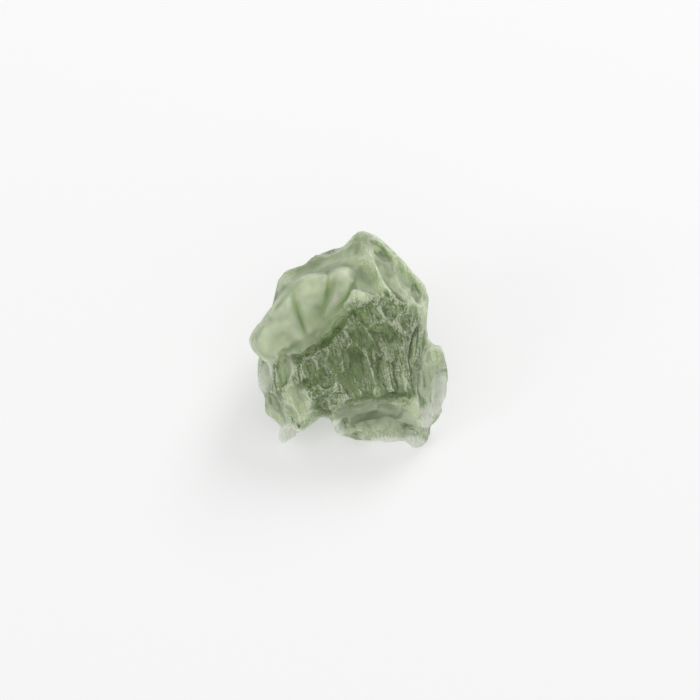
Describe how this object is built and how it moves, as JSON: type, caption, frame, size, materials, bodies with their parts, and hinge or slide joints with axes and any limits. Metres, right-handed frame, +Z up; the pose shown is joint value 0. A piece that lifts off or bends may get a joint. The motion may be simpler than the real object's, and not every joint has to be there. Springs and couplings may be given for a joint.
{
  "type": "moldavite",
  "caption": "Small piece of translucent green natural glass, etched all over into cups and flutes, with smooth lobes on one shoulder, that rests on a small flat spot.",
  "frame": {"origin": "centre of the stone's outline seen from above, on the surface that it rests on", "axes": "+Z up, -Y towards the carved face, which looks up at an angle, +X to the right of that face"},
  "size_m": [0.017, 0.0162, 0.0129],
  "materials": {
    "green_glass": "translucent bottle-green natural glass, frosted by etching, milky on the lobes and clearer in the carved face"
  },
  "bodies": {
    "root": {"moldavite": "green_glass"}
  },
  "joints": []
}
